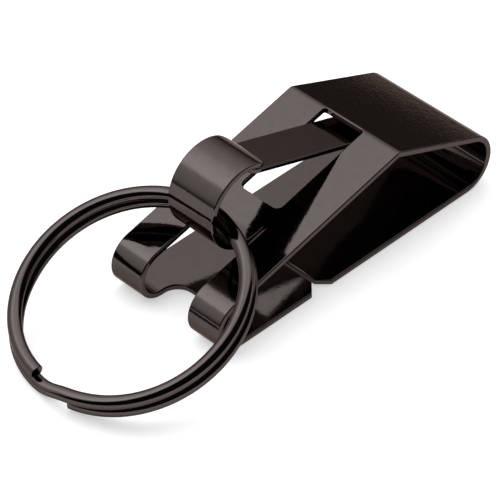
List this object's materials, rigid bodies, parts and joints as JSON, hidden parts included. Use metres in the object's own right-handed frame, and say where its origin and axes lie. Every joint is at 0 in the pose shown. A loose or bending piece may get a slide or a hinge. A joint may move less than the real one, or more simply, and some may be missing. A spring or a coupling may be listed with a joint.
{
  "type": "belt key clip",
  "caption": "Bent spring-steel belt loop with an upturned hook, a sprung gate leaf that closes the hook, and a split key ring hanging in it.",
  "frame": {"origin": "on the outer face of the back plate, in the middle of the belt loop's length and width", "axes": "+X along the loop towards its fold, +Y across the strip, +Z from the back plate towards the front and the hook"},
  "size_m": [0.071, 0.032, 0.0216],
  "materials": {
    "strip": "mirror-bright black nickel plate",
    "gate": "mirror-bright black nickel plate",
    "ring": "polished black nickel plate"
  },
  "bodies": {
    "clip": {"clip_front": "strip", "gate_pad": "gate"},
    "back": {"back_leaf": "strip"},
    "gate": {"gate_leaf": "gate"},
    "ring": {"split_ring": "ring"}
  },
  "joints": [
    {"name": "back_open", "type": "hinge", "parent": "clip", "child": "back", "pos_m": [0.02488, 0, 0.00445], "axis": [0, -1, 0], "range_deg": [0, 8], "stiffness_Nm_per_rad": 1.5},
    {"name": "gate_press", "type": "hinge", "parent": "clip", "child": "gate", "pos_m": [0.01568, 0, 0.00996], "axis": [0, -1, 0], "range_deg": [0, 8], "stiffness_Nm_per_rad": 0.6, "springref_deg": -2.86},
    {"name": "ring_swing", "type": "hinge", "parent": "clip", "child": "ring", "pos_m": [-0.01674, 0.0001, 0.01344], "axis": [0, 1, 0], "range_deg": [0, 150]}
  ]
}
